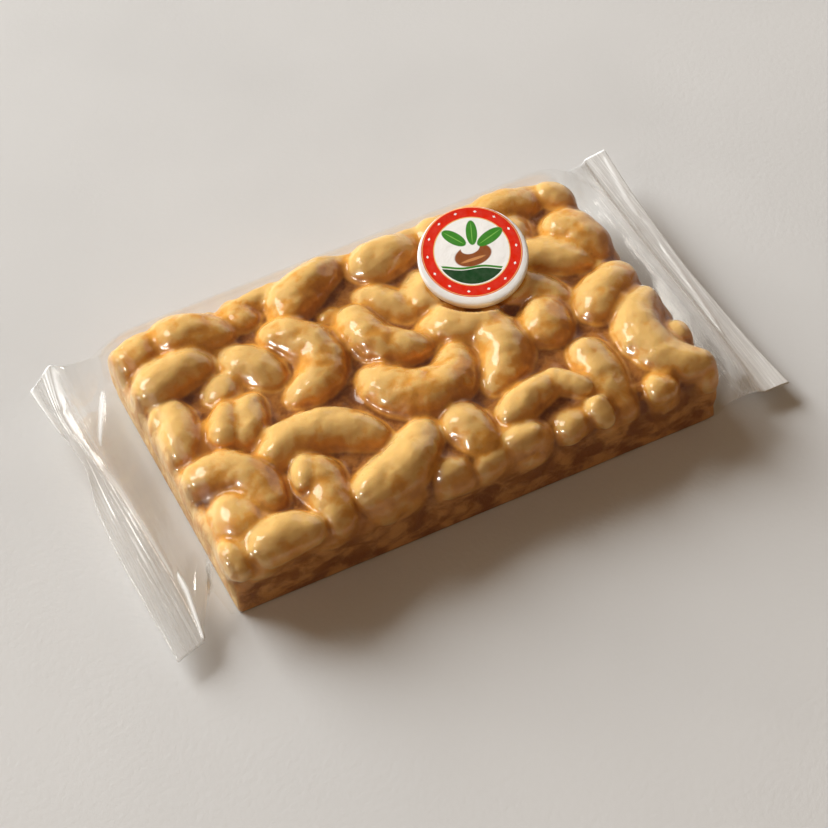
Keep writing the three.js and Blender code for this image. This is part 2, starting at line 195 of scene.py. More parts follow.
# How deep the caramel's brown is: at rest, and what a hollow, a low place, a nut's flank, the side away from
# the light, a long wall, the foot of a long wall and a cut end add to it. Hollows and flanks are darker
# partly as pooled glaze and partly as painted shade; the side away from the light is painted shade, and the
# side towards it comes out paler as a painted highlight.
SHADE_SIDE = (0.56, -0.7, 0)
POOL_REST = 0.27
POOL_HOLLOW = 0.2
POOL_SUNK = 0.12
POOL_FLANK = 0.35
POOL_SHADE_SIDE = 0.34
POOL_WALL = 0.15
POOL_FOOT = 0.3
POOL_CUT = -0.2
SUNK_LEVELS = (14.6, 11.2)  # a place is low from the first level, and in full from the second
FOOT_LEVELS = (7.5, 3.5)
DULL_LEVELS = (9.5, 6.5)
WALL_BAND = (-0.7, -0.2)  # how far out of a wall's plane its colours start and are full
NEAR_ROUNDS = 10  # of averaging, to find small hollows
WIDE_ROUNDS = 90  # and wide ones
NEAR_HOLLOW = 0.09  # depth of a full small hollow
WIDE_HOLLOW = 0.75
NUT_BORDER = 1.8  # width in which a nut's colours change to the caramel's

# The round label: a disc that leans towards the front left.
LABEL_DIAMETER = 21.6
LABEL_THICKNESS = 1.9
LABEL_TILT = 17.5  # degrees
LABEL_FACING = 26
LABEL_CENTRE = (20.8, 13.5, 18.5)  # middle of its upper face
LABEL_BEVEL = 0.45
LABEL_CROWN = 0.12
LABEL_INSETS = (0.5, 2.0, 3.0, 3.0)  # rings of its faces, inwards from the rim
LABEL_SIDES = 96
BEVEL_STEPS = 4
LABEL_SLOPE = 1.2  # past the rim, what is pressed down rises again over about this distance
LABEL_CLEARING = 3  # and beyond this distance nothing is pressed

# Its print, in millimetres and degrees. It sits towards the back, so that the white rim is widest in front.
PRINT_MIDDLE = (-0.2, 0.85)
RING_RADII = (7.5, 9.8)
RING_LINE_RADIUS = 9.65
RING_DOTS_RADIUS = 8.7
RING_DOTS = 14
DISC_RADIUS = 7.3
HILL_LEVEL = -3.9
HILL_LINE_LEVEL = -3.5
HILL_SWELL = 0.22
EDGE_SOFTNESS = 0.05
PRINTED_NUT = ((0.2, -0.9), (3.7, 2.3), 18)  # an ellipse: middle, radii and turn
NUT_BITE = ((-0.3, 0.7), (1.9, 1.3), 18)
NUT_GLEAM = ((0.2, -1.8), (2.4, 0.3), 18)
LEAVES = (((-3.4, 2.9), (2.7, 1.25), 146), ((3.6, 3.0), (3.0, 1.3), 36), ((0.1, 4.0), (2.7, 1.1), 92))
VEIN_SHARE = (0.82, 0.09)  # a vein's radii as shares of its leaf's

# The strips at the bag's ends: places on their outer and inner edges, from the front to the back.
LEFT_STRIP = [
    ((-63.8, -35, 3), (-58, -33.2, 3)),
    ((-64.4, -22, 3.7), (-58.1, -20, 3.8)),
    ((-64.8, -10.7, 4.4), (-58.6, -9, 4.6)),
    ((-64.4, 1, 5.2), (-59.3, 2, 5.4)),
    ((-62.9, 10.6, 6.6), (-60.8, 12.4, 6.2)),
    ((-64.4, 21.4, 7.2), (-61.9, 24, 6.8)),
    ((-65.5, 32, 7), (-59.8, 36.5, 7.3)),
]
RIGHT_STRIP = [
    ((64.8, -32.8, 3), (59.4, -32.6, 3)),
    ((63.9, -22, 3.6), (59.7, -21, 3.7)),
    ((63.4, -10.5, 4.3), (59.8, -10, 4.4)),
    ((63.1, 2, 5.1), (59.5, 2, 5.2)),
    ((63.5, 13, 5.9), (59.2, 13, 6)),
    ((64.2, 25, 6.6), (59.5, 25, 6.7)),
    ((65.5, 37.2, 7.1), (60.1, 36.3, 7.3)),
]
STRIP_THICKNESS = 0.34
STRIP_WAVES = 7  # ridges across a strip; those in its outer part are pressed
STRIP_WAVE_HEIGHTS = (0.13, 0.05)  # left and right
STRIP_RISE = (0.3, 0.55)  # the ridges rise between these shares of its width
STRIP_FLAT = 0.2  # height of the pressed ridges as a share of the full ones
STRIP_SWELL = 0.12  # height of the slow swells along a strip
STRIP_STEPS = 24
WEB_STEPS = 22
BAR_STEPS = 104
FILM_STEPS = 84  # from the front fold to the back fold, over the top or under the bottom
FILM_REACH = 51.2  # the film leaves the bar's ends this far from the middle
FILM_GAP = 0.22  # between the film and the nuts it lies on
FILM_FLOOR = 0.02  # lowest level of the film
FILM_ROUNDING = 2.5  # of its ring at the bar's upper edges
FILM_FOOT = 0.6  # its bevel along the floor
FILM_FRONT = -30.3  # its front and back beside the bar's middle
FILM_BACK = 32
FILM_BOTTOM = 0.06
FILM_TOP = 16.7  # its level before it is drawn onto the bar, and how much lower that is at the ends
FILM_DROP = 2.5
FILM_DROP_START = 47
FREE_ROWS = 6  # rings from a strip to where the film can settle freely
SETTLING_ROUNDS = 5

# The film's rings beside the bar: x, front, back, front fold, bottom and top.
LEFT_WAIST = (-FILM_REACH - 0.9, -22.5, 31.8, 4, 0.5, 12.6)
LEFT_END = (-FILM_REACH, -28.6, 32, 4, 0.06, 14.2)
RIGHT_END = (FILM_REACH, -31, 32.2, 3, 0.06, 14.2)
RIGHT_WAIST = (FILM_REACH + 0.9, -30.6, 32.2, 3, 0.4, 12.8)

# How whitish the film is: over the bar, and what is added beside it and on the strips, left and right.
HAZE_BAR = 0.005
HAZE_WEB = (0.09, 0.23)
HAZE_STRIP = (0.2, 0.66)
HAZE_NEAR = 0.25  # added towards the front of the right end, between these places
NEAR_SPAN = (-12, -30)
WEB_WIDTH = 7
STRIP_START = (6.8, 8)  # the strip's haze rises between these distances past the bar

# The film's creases: a line from above (x, y), its width, its height beside the others and its whiteness,
# which paints a glint along the crease.
FILM_CREASES = [
    ([(-60.5, 37), (-61.3, 31), (-61.9, 25)], 1.0, 1.0, 0.9),
    ([(-65.1, 33.5), (-65, 27), (-63.9, 19)], 0.6, 0.6, 0.95),
    ([(-61.8, 26), (-61.2, 15), (-60, 9)], 0.3, 0.8, 0.75),
    ([(-60.6, 12), (-58.9, 2), (-58.2, -10), (-57.7, -20)], 0.35, 0.8, 0.3),
    ([(-54.3, 21.5), (-58.6, 12.9)], 0.38, 1.2, 1.0),
    ([(-57.1, -19), (-57, -23.4), (-57.5, -28.3), (-58, -32.8)], 0.32, 1.2, 1.0),
    ([(-52.3, -22.3), (-54.8, -28.4), (-57.8, -33.1)], 0.3, 1.0, 0.7),
    ([(61.6, 9), (61.4, 1), (60.8, -8), (60, -17)], 0.5, 0.8, 1.0),
    ([(64.4, 35), (63.4, 28), (62.2, 22), (61.8, 17)], 0.6, 0.5, 0.8),
    ([(-51.9, -22.4), (-53.2, -24.2), (-53.8, -27.2)], 0.3, 0.8, 0.95),
    ([(52, 30), (57, 26), (60, 14)], 0.7, 1.0, 0.08),
    ([(-51, 31.9), (0, 32.1), (51, 32.2)], 0.35, 0.0, 0.3),
]

# The camera of the photograph: it looks down from the front left through a long lens.
CAMERA_AZIMUTH = -26.1
CAMERA_ELEVATION = 50.22
CAMERA_ROLL = -2.0
CAMERA_DISTANCE = 366.66
CAMERA_TARGET = (-1.07, -2.7, 0)
CAMERA_LENS = 82.6

# The stage, in metres and watts. Of each area light: name, place, width, power, tint, whether it shades what
# it lights, and whether it shows as a gleam on what is glossy. All of them aim at the middle of the floor.
FLOOR_SIZE = 6
FLOOR_LEVEL = -0.0001
LIGHTS = (
    ("key", (-1.0, 2.24, 1.14), 1.7, 150, (0.985, 1, 1), True, False),
    ("sheen", (-1.2, 1.4, 2.0), 1.0, 26, (1, 0.96, 0.9), False, True),
    ("window", (-1.35, -0.15, 0.82), 0.32, 16, (1, 0.95, 0.86), False, True),
    ("room", (2.2, 1.5, 1.1), 2.2, 12, (1, 1, 1), False, True),
    ("left", (-1.35, -0.15, 0.82), 0.5, 1.8, (1, 1, 1), True, True),
    ("fill", (0.3, -0.7, 0.6), 0.8, 0.4, (1, 0.62, 0.35), True, True),
)
ROOM_TINT = (1, 0.62, 0.3, 1)
ROOM_STRENGTH = 0.15
LABEL_LIGHT_POWER = 14
LABEL_LIGHT_HEIGHT = 1
LABEL_LIGHT_SIZE = 0.002
LABEL_LIGHT_BLEND = 0.1


def srgb(red, green, blue):
    """A colour given as 0 to 255 on screen, as the linear values that Blender's nodes hold."""
    return tuple(((c / 255 + 0.055) / 1.055) ** 2.4 if c > 10 else c / 3295 for c in (red, green, blue))


def millimetres(name, description, default):
    return bpy.props.FloatProperty(name=name, description=description, default=default, min=0, subtype="NONE")


def colour(name, description, *shade):
    return bpy.props.FloatVectorProperty(
        name=name, description=description, default=srgb(*shade), size=3, min=0, max=1, subtype="COLOR"
    )


class BrittleSizes(bpy.types.PropertyGroup):
    """Sizes in millimetres that can be changed before the pieces are built."""

    grain: millimetres("Mesh grain", "Size of the bar's mesh cells", 0.42)
    lumps: millimetres("Lump height", "Height of the lumps on nuts and caramel", 0.7)
    dents: millimetres("Dent depth", "Depth of the creases between a nut's soft facets", 0.6)
    ripples: millimetres("Ripple height", "Height of the small swells on the nuts", 0.32)
    wrinkles: millimetres("Wrinkle height", "Height of the fine wrinkles on the nuts", 0.08)
    fillet: bpy.props.IntProperty(
        name="Caramel fillet", description="Rounds of smoothing where nuts meet caramel", default=4, min=0
    )
    crease: millimetres("Film crease height", "Height of the creases in the film between bar and strip", 0.3)


class BrittleColours(bpy.types.PropertyGroup):
    """Colours of the pieces and of the stage."""

    # These glaze colours also paint light and shade: nut_pale is also a painted highlight on the side towards
    # the light, and glaze and caramel are also painted shade in the hollows, on the flanks and on the side
    # away from it.
    nut_pale: colour("Pale nut", "The raised tops of the nuts", 234, 190, 116)
    nut: colour("Nut", "The glazed nuts", 224, 156, 64)
    glaze: colour("Glaze", "Caramel that pools low on the nuts", 188, 122, 48)
    pooled: colour("Pooled caramel", "Caramel that fills the gaps between the nuts", 174, 111, 50)
    caramel: colour("Caramel", "The deepest caramel, close along the nuts", 122, 65, 20)
    wall: colour("Wall", "Crushed nut on the front and back walls", 208, 153, 93)
    wall_dark: colour("Dark wall", "Caramel between the crushed nut on the walls", 144, 90, 46)
    cut: colour("Cut face", "The pale smear on the bar's cut ends", 234, 198, 140)
    # The film colour also paints the glints along the creases.
    film: colour("Film haze", "The film where it is creased or doubled", 240, 240, 238)
    label_white: colour("Label white", "The label's rim and middle", 244, 243, 240)
    label_red: colour("Label red", "The label's ring", 222, 34, 0)
    label_green: colour("Label green", "The leaves on the label", 58, 134, 36)
    label_dark: colour("Label dark green", "The band under the leaves", 20, 66, 30)
    label_brown: colour("Label brown", "The nut in the middle of the label", 140, 76, 34)
    print_line: colour("Print line", "The thin lines round the label's ring", 236, 190, 120)
    print_vein: colour("Print vein", "The veins of the leaves", 120, 180, 80)
    print_gleam: colour("Print gleam", "The light streak on the printed nut", 204, 140, 84)
    print_shade: colour("Print shade", "Faint unevenness of the label's paper", 196, 192, 186)
    floor: colour("Floor", "The pale surface under the bar", 214, 214, 213)


def sizes():
    return bpy.context.scene.brittle_sizes


def colours():
    return bpy.context.scene.brittle_colours


# Materials. A noise is given as its scale, detail, roughness and distortion.


def math_node(operation, swapped=False):
    """A method of Number that adds one Math node."""

    def method(self, *others):
        values = (*others, self) if swapped else (self, *others)
        node = self.finish.node("ShaderNodeMath", {"operation": operation}, dict(enumerate(values)))
        return Number(self.finish, node.outputs[0])

    return method


class Number:
    """A number in a material: arithmetic on it adds the Math nodes."""

    def __init__(self, finish, socket):
        self.finish = finish
        self.socket = socket

    __add__ = math_node("ADD")
    __radd__ = __add__
    __mul__ = math_node("MULTIPLY")
    __rmul__ = __mul__
    __sub__ = math_node("SUBTRACT")
    __rsub__ = math_node("SUBTRACT", swapped=True)
    __truediv__ = math_node("DIVIDE")
    __pow__ = math_node("POWER")
    least = math_node("MINIMUM")
    most = math_node("MAXIMUM")
    size = math_node("ABSOLUTE")
    sine = math_node("SINE")
    angle_over = math_node("ARCTAN2")

    def step(self, low, high):
        """0 under low, 1 over high, and smooth between."""
        settings = {"interpolation_type": "SMOOTHSTEP", "clamp": True}
        values = {"Value": self, "From Min": low, "From Max": high}
        node = self.finish.node("ShaderNodeMapRange", settings, values)
        return Number(self.finish, node.outputs["Result"])


class Finish:
    """A material under construction."""

    def __init__(self, name):
        self.material = bpy.data.materials.new(name)
        self.material.use_nodes = True
        self.tree = self.material.node_tree
        self.tree.nodes.clear()

    def node(self, kind, settings=None, sockets=None):
        """Adds one node: its settings first, then the values or links of its sockets."""
        node = self.tree.nodes.new(kind)
        for name, value in (settings or {}).items():
            setattr(node, name, value)
        for name, value in (sockets or {}).items():
            if isinstance(value, Number):
                value = value.socket
            if isinstance(value, bpy.types.NodeSocket):
                self.tree.links.new(value, node.inputs[name])
            else:
                node.inputs[name].default_value = value
        return node

    def attribute(self, name):
        node = self.node("ShaderNodeAttribute", {"attribute_name": name})
        return Number(self, node.outputs["Fac"])

    def place(self, source="Object", location=(0, 0, 0), rotation=(0, 0, 0), scale=(1, 1, 1), kind="POINT"):
        """Coordinates turned and scaled by a Mapping node."""
        coordinates = self.node("ShaderNodeTexCoord").outputs[source]
        sockets = {"Vector": coordinates, "Rotation": rotation, "Scale": scale, "Location": location}
        return self.node("ShaderNodeMapping", {"vector_type": kind}, sockets).outputs["Vector"]

    def noise(self, place, scale, detail, roughness=0.55, distortion=0.0):
        names = ("Vector", "Scale", "Detail", "Roughness", "Distortion")
        sockets = dict(zip(names, (place, scale, detail, roughness, distortion)))
        return Number(self, self.node("ShaderNodeTexNoise", {}, sockets).outputs[0])

    def mix(self, share, first, second):
        """A colour between two others."""
        ends = [c if isinstance(c, bpy.types.NodeSocket) else (*c, 1) for c in (first, second)]
        settings = {"data_type": "RGBA", "clamp_factor": True}
        return self.node("ShaderNodeMix", settings, {0: share, 6: ends[0], 7: ends[1]}).outputs[2]

    def bump(self, height, distance):
        """A normal from a height, which is 1 where it stands out by distance, in metres."""
        sockets = {"Height": height, "Distance": distance, "Strength": 1.0}
        return self.node("ShaderNodeBump", {}, sockets).outputs["Normal"]

    def done(self, shader):
        output = self.node("ShaderNodeOutputMaterial")
        self.tree.links.new(shader, output.inputs["Surface"])
        return self.material


def brittle_finish():
    """Roasted nuts under a glossy caramel glaze that pools brown in the hollows, with painted shade darker in
    the hollows, on the flanks and on the side away from the light.
    """
    finish, shades = Finish("brittle_glaze"), colours()
    place = finish.place()
    pool_and_shade, nut, tint, matte, cut = [finish.attribute(name) for name in ("pool_and_shade", "nut", "tint", "matte", "cut")]
    broad = finish.noise(place, 130, 2)
    fine = finish.noise(place, 620, 4, 0.6)
    blotch = finish.noise(place, 1500, 3, 0.6)
    patch = finish.noise(place, 300, 3, 0.6, 0.4)
    # The pooling attribute carries painted shade, and painted highlight, into how deep the glaze colours go.
    depth = pool_and_shade + (broad - 0.5) * 0.7 + (patch - 0.5) + (fine - 0.5) * 0.3 + (tint - 0.5) * 0.3
    pale = finish.mix(depth.step(0.1, 0.5), shades.nut_pale, shades.nut)
    glazed = finish.mix(depth.step(0.42, 1.0), pale, shades.glaze)
    smoky = (finish.noise(place, 330, 3, 0.6, 0.8) - 0.5) * 0.6
    gap = finish.mix((depth + smoky).step(0.35, 0.85), shades.pooled, shades.caramel)
    tone = finish.mix((nut + (fine - 0.5) * 0.3).step(0.25, 0.75), gap, glazed)
    tone = finish.mix((blotch - 0.5) * 0.2 + 0.03, tone, shades.nut_pale)
    smear = finish.noise(finish.place(scale=(1, 1, 0.7)), 380, 4, 0.6, 0.5)
    dull = finish.mix(smear.step(0.42, 0.6), shades.cut, shades.wall)
    tone = finish.mix(cut * WALL_COVER, tone, dull)
    crumb = finish.noise(finish.place(rotation=(0, 0.5, 0), scale=(0.8, 1, 1.2)), 250, 4, 0.6, 0.3)
    walls = finish.mix(crumb.step(0.4, 0.62), shades.wall_dark, shades.wall)
    tone = finish.mix(matte * (1 - cut) * WALL_COVER, tone, walls)
    wrinkle = finish.noise(place, 520, 3, 0.6, 1.2) * (1 - nut.step(0.3, 0.7))
    relief = broad * 0.5 + fine * 0.1 + wrinkle * 0.4 + crumb * matte + smear * cut + blotch * 0.03
    wet = finish.noise(place, 300, 2)
    in_hollow = pool_and_shade.step(0.42, 0.8)
    shader = finish.node(
        "ShaderNodeBsdfPrincipled",
        {"subsurface_method": "RANDOM_WALK"},
        {
            "Base Color": tone,
            "Roughness": wet.step(0.35, 0.7) * 0.16 + 0.24 + matte * 0.2 + in_hollow * 0.16,
            "IOR": 1.48,
            "Subsurface Weight": 0.22,
            "Subsurface Radius": (1.0, 0.68, 0.36),
            "Subsurface Scale": 0.0016,
            "Specular IOR Level": 0.32,
            "Coat Weight": (0.8 - matte * 0.66) * (1 - in_hollow * 0.9),
            "Coat Roughness": 0.04,
            "Coat IOR": 1.5,
            "Normal": finish.bump(relief, 0.0004),
        },
    )
    return finish.done(shader.outputs[0])


def film_finish():
    """Clear film: nearly invisible face on, glossy at a slant, whitish where it is doubled, with painted
    glints along its creases and a painted whitish sheen at a slant.
    """
    finish, shades = Finish("clear_film"), colours()
    streak_place = finish.place("UV", scale=(1.7, 0.045, 1))
    streaks = finish.noise(streak_place, 1, 4, 0.62, 0.2)
    place = finish.place()
    ripple = finish.noise(place, 260, 2)
    haze = finish.attribute("haze")
    crease = finish.attribute("crease")
    edge_on = finish.node("ShaderNodeLayerWeight", {}, {"Blend": 0.5})
    slant = Number(finish, edge_on.outputs["Facing"])
    relief = streaks * (haze * 0.3 + 0.06) + ripple * 0.3
    normal = finish.bump(relief, 0.00035)
    gloss = finish.node(
        "ShaderNodeBsdfGlossy", {}, {"Color": (1, 1, 1, 1), "Roughness": 0.06, "Normal": normal}
    )
    clear = finish.node("ShaderNodeBsdfTransparent", {}, {"Color": (0.985, 0.985, 0.98, 1)})
    loose = (haze * 9.0).least(1.0)
    shine = ((slant**1.8) * 0.9 + 0.04) * (loose * 0.98 + 0.02)
    skin = finish.node("ShaderNodeMixShader", {}, {0: shine, 1: clear.outputs[0], 2: gloss.outputs[0]})
    milk = finish.node(
        "ShaderNodeBsdfPrincipled",
        {},
        {"Base Color": tuple(shades.film) + (1,), "Roughness": 0.3, "Normal": normal},
    )
    # Haze of the doubled film, and the painted glints along the creases.
    white = haze * (streaks.step(0.4, 0.75) * 0.5 + 0.75) + crease
    # A whitish veil where the film is seen at a slant: a painted sheen.
    veil = (white + slant.step(0.7, 1.0) * 0.25 * loose).least(0.97)
    shader = finish.node("ShaderNodeMixShader", {}, {0: veil, 1: skin.outputs[0], 2: milk.outputs[0]})
    return finish.done(shader.outputs[0])


def ellipse(x, y, centre, radii, turn):
    """How far a point of the label lies from an ellipse's middle, 1 on its edge."""
    cosine, sine = math.cos(math.radians(turn)), math.sin(math.radians(turn))
    along = (x - centre[0]) * cosine + (y - centre[1]) * sine
    across = (y - centre[1]) * cosine - (x - centre[0]) * sine
    return ((along / radii[0]) ** 2.0 + (across / radii[1]) ** 2.0) ** 0.5


def label_finish():
    """Printed gloss paper: a red ring with white dots round leaves and a nut."""
    finish, shades = Finish("label_print"), colours()
    place = finish.place(
        location=[c * MM for c in LABEL_CENTRE],
        rotation=(math.radians(LABEL_TILT), 0, math.radians(-LABEL_FACING)),
        scale=(MM, MM, MM),
        kind="TEXTURE",
    )
    parts = finish.node("ShaderNodeSeparateXYZ", {}, {0: place})
    x, y, z = [Number(finish, parts.outputs[i]) for i in range(3)]
    x = x - PRINT_MIDDLE[0]
    y = y - PRINT_MIDDLE[1]
    wobble = finish.noise(place, 0.6, 2)
    radius = (x * x + y * y) ** 0.5
    dots = (y.angle_over(x) * RING_DOTS).sine()
    dot = ((1 - dots) * 0.9) ** 0.5 * 1.1 + (radius - RING_DOTS_RADIUS).size() * 1.6
    hill = y - (x * 0.75).sine() * HILL_SWELL + (radius - 7).most(0) * 40.0
    hill_line = (hill - HILL_LINE_LEVEL).size() + (radius - 6.8).most(0) * 8.0
    on_top = z.step(-0.35, -0.2)
    ring = (1 - radius.step(RING_RADII[1], RING_RADII[1] + 0.1)) * on_top
    tone = finish.mix(ring, shades.label_white, shades.label_red)
    # Each layer covers where its first number is under its second, with an edge as soft as its third.
    layers = [
        (dot, 0.42, 0.08, shades.label_white),
        ((radius - RING_LINE_RADIUS).size(), 0.07, 0.04, shades.print_line),
        (radius, RING_RADII[0], 0.04, shades.print_line),
        (radius, DISC_RADIUS, 0.04, shades.label_white),
        (hill, HILL_LEVEL, EDGE_SOFTNESS, shades.label_dark),
        (hill_line, 0.22, 0.04, shades.label_green),
        (ellipse(x, y, *PRINTED_NUT), 1, EDGE_SOFTNESS, shades.label_brown),
        (ellipse(x, y, *NUT_BITE), 1, EDGE_SOFTNESS, shades.label_white),
    ]
    for centre, radii, turn in LEAVES:
        vein = (radii[0] * VEIN_SHARE[0], radii[1] * VEIN_SHARE[1])
        layers.append((ellipse(x, y, centre, radii, turn), 1, EDGE_SOFTNESS, shades.label_green))
        layers.append((ellipse(x, y, centre, vein, turn), 1, 0.2, shades.print_vein))
    layers.append((ellipse(x, y, *NUT_GLEAM), 1, 0.2, shades.print_gleam))
    for distance, limit, soft, shade in layers:
        tone = finish.mix(1 - distance.step(limit - soft, limit + soft), tone, shade)
    tone = finish.mix((wobble - 0.5) * 0.12 + 0.03, tone, shades.print_shade)
    grain = finish.noise(place, 3.0, 3)
    shader = finish.node(
        "ShaderNodeBsdfPrincipled",
        {},
        {
            "Base Color": tone,
            "Roughness": grain.step(0.3, 0.7) * 0.12 + 0.36,
            "Specular IOR Level": 0.1,
            "Coat Weight": 0.03,
            "Coat Roughness": 0.12,
            "Normal": finish.bump(grain * 0.5 + wobble, 0.00012),
        },
    )
    return finish.done(shader.outputs[0])


def floor_finish():
    """A plain pale surface with a faint unevenness."""
    finish, shades = Finish("pale_floor"), colours()
    place = finish.place()
    cloud = finish.noise(place, 14, 3)
    grain = finish.noise(place, 900, 2)
    dimmer = tuple(c * 0.93 for c in shades.floor)
    tone = finish.mix(cloud.step(0.3, 0.8), shades.floor, dimmer)
    sockets = {"Base Color": tone, "Roughness": 0.75, "Normal": finish.bump(grain, 0.00004)}
    return finish.done(finish.node("ShaderNodeBsdfPrincipled", {}, sockets).outputs[0])


# Modelling helpers.


def select(*pieces):
    bpy.ops.object.select_all(action="DESELECT")
    for piece in pieces:
        piece.select_set(True)
    bpy.context.view_layer.objects.active = pieces[-1]


def modify(piece, kind, **settings):
    """Adds a modifier and applies it."""
    select(piece)
    modifier = piece.modifiers.new(kind.title(), kind)
    for name, value in settings.items():
        setattr(modifier, name, value)
    bpy.ops.object.modifier_apply(modifier=modifier.name)


def new_object(name, data):
    """Puts new data into the scene as an object."""
    made = bpy.data.objects.new(name, data)
    bpy.context.collection.objects.link(made)
    return made


def turned(axis, degrees):
    return Matrix.Rotation(math.radians(degrees), 4, axis)


def turn_outwards(piece):
    """Makes all of the piece's faces point out of it."""
    select(piece)
    bpy.ops.object.mode_set(mode="EDIT")
    bpy.ops.mesh.select_all(action="SELECT")
    bpy.ops.mesh.normals_make_consistent()
    bpy.ops.object.mode_set(mode="OBJECT")


def bevel_edges(piece, upright, width, segments):
    """Rounds the piece's upright edges, or else its level ones."""
    for edge in piece.data.edges:
        ends = [piece.data.vertices[i].co.z for i in edge.vertices]
        edge.select = (abs(ends[0] - ends[1]) > 1e-6) == upright
    bpy.ops.object.mode_set(mode="EDIT")
    bpy.ops.mesh.select_mode(type="EDGE")
    bpy.ops.mesh.bevel(offset=width * MM, segments=segments, affect="EDGES")
    bpy.ops.mesh.select_mode(type="FACE")
    bpy.ops.mesh.select_all(action="DESELECT")
    bpy.ops.object.mode_set(mode="OBJECT")


def read(items, name, width, kind=float):
    """One value of each item of a mesh, as the rows of an array."""
    values = np.empty(len(items) * width, dtype=kind)
    items.foreach_get(name, values)
    return values.reshape(-1, width)


def corners(piece):
    """The piece's vertices as an array of places."""
    return read(piece.data.vertices, "co", 3)


def edge_ends(piece):
    return read(piece.data.edges, "vertices", 2, np.int64)


def facings(piece):
    """The direction that each vertex faces."""
    return read(piece.data.vertex_normals, "vector", 3)


def put_corners(piece, places):
    piece.data.vertices.foreach_set("co", np.ascontiguousarray(places).ravel())
    piece.data.update()


def ramp(values, start, end):
    """0 at start, 1 at end, straight between and level beyond. The start may be the higher one."""
    return np.clip((values - start) / (end - start), 0, 1)


def store(piece, name, values):
    """Keeps one number for each vertex, for the material."""
    kept = piece.data.attributes.new(name, "FLOAT", "POINT")
    kept.data.foreach_set("value", np.asarray(values, dtype=np.float32))


def finish_piece(piece, name, material, replaced):
    piece.name = name
    piece.data.name = name
    piece.data.materials.clear()
    piece.data.materials.append(material)
    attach(piece, BODY)
    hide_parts(replaced)


def label_frame():
    """Where the label lies: its origin is the middle of its upper face and +Z comes out of that face."""
    turn = turned("Z", -LABEL_FACING) @ turned("X", LABEL_TILT)
    return Matrix.Translation(Vector(LABEL_CENTRE) * MM) @ turn


def press_under_label(places, gap):
    """Moves what would stand in the label down to just under it."""
    label = np.array(label_frame())
    middle, turn = label[:3, 3], label[:3, :3]
    local = (places - middle) @ turn
    beyond = np.hypot(local[:, 0], local[:, 1]) - LABEL_DIAMETER / 2 * MM
    slope = LABEL_SLOPE * MM
    ceiling = np.clip(beyond / slope, 0, None) ** 2 * slope - (LABEL_THICKNESS + gap) * MM
    pressed = np.minimum(local[:, 2], ceiling)
    local[:, 2] = np.where(beyond < LABEL_CLEARING * MM, pressed, local[:, 2])
    return local @ turn.T + middle


# The bar.


def nut_blank():
    """A blunt ball that every nut is shaped from, full towards both ends."""
    bpy.ops.mesh.primitive_uv_sphere_add(segments=24, ring_count=20, radius=1, rotation=(0, math.pi / 2, 0))
    blank = bpy.context.object
    bpy.ops.object.transform_apply(location=False, rotation=True, scale=False)
    places = corners(blank)
    reach = np.clip(np.hypot(places[:, 1], places[:, 2]), 1e-6, None)
    places[:, 0] = np.sign(places[:, 0]) * np.abs(places[:, 0]) ** NUT_FULLNESS
    places[:, 1:] *= (reach ** (NUT_FULLNESS - 1))[:, None]
    put_corners(blank, places)
    return blank


def bent(x, y, length, curl):
    """The nut bent sideways by an angle, most of it round the nut's middle."""
    run = np.linspace(-0.5, 0.5, BEND_STEPS + 1)
    heading = curl / 2 * np.tanh(BEND_FOCUS * 2 * run) / math.tanh(BEND_FOCUS)
    lines = []
    for part in (np.cos(heading), np.sin(heading)):
        line = (np.cumsum(part) - part / 2) * length / BEND_STEPS
        lines.append(np.interp(x / length, run, line - line[BEND_STEPS // 2]))
    turn = np.interp(x / length, run, heading)
    return lines[0] - y * np.sin(turn), lines[1] + y * np.cos(turn)


def nut_piece(blank, length, width, curl, placed, rise=0):
    """A nut of its own size, thinner towards one end and curled, at its place in the bar."""
    piece = blank.copy()
    piece.data = blank.data.copy()
    bpy.context.collection.objects.link(piece)
    places = corners(piece)
    plump = width / 2 * NUT_PLUMPNESS * (1 - NUT_TAPER * places[:, 0])
    x, y, z = length / 2 * places[:, 0], plump * places[:, 1], plump * NUT_THICKNESS * places[:, 2]
    if curl:
        x, y = bent(x, y, length, math.radians(curl))
    put_corners(piece, np.stack((x, y, z), 1) * MM)
    piece.matrix_world = placed @ Matrix.Rotation(-math.atan2(rise, length), 4, "Y")
    return piece


def front_shift(x, z):
    """How far the front wall lies behind the plane of a plain box's front face."""
    return FRONT_SETBACK + FRONT_LEAN * np.clip(z, 0, CARAMEL_TOP) - FRONT_SKEW * x


def wall_nut(blank, nut, wall_distance, wall_turn):
    """A nut that lies against a wall, half sunk. The wall faces the front before it is turned."""
    x, z, slope, length, width, curl = nut
    sunk = width * NUT_THICKNESS / 2 - (WALL_NUT_DEPTH if z > LOW_NUT_LEVEL else LOW_NUT_DEPTH)
    upright = turned("X", 90) @ turned("Z", slope)
    if wall_turn == 0:
        sunk += float(front_shift(x, z))
    placed = Matrix.Translation(Vector((x, -wall_distance + sunk, z)) * MM) @ upright
    return nut_piece(blank, length, width, curl, turned("Z", wall_turn) @ placed)


def repeatable(seed):
    """Random numbers from 0 to 1, the same ones each time."""
    factor, increment, limit = 1664525, 1013904223, 2**32
    state = seed
    while True:
        state = (state * factor + increment) % limit
        yield state / limit


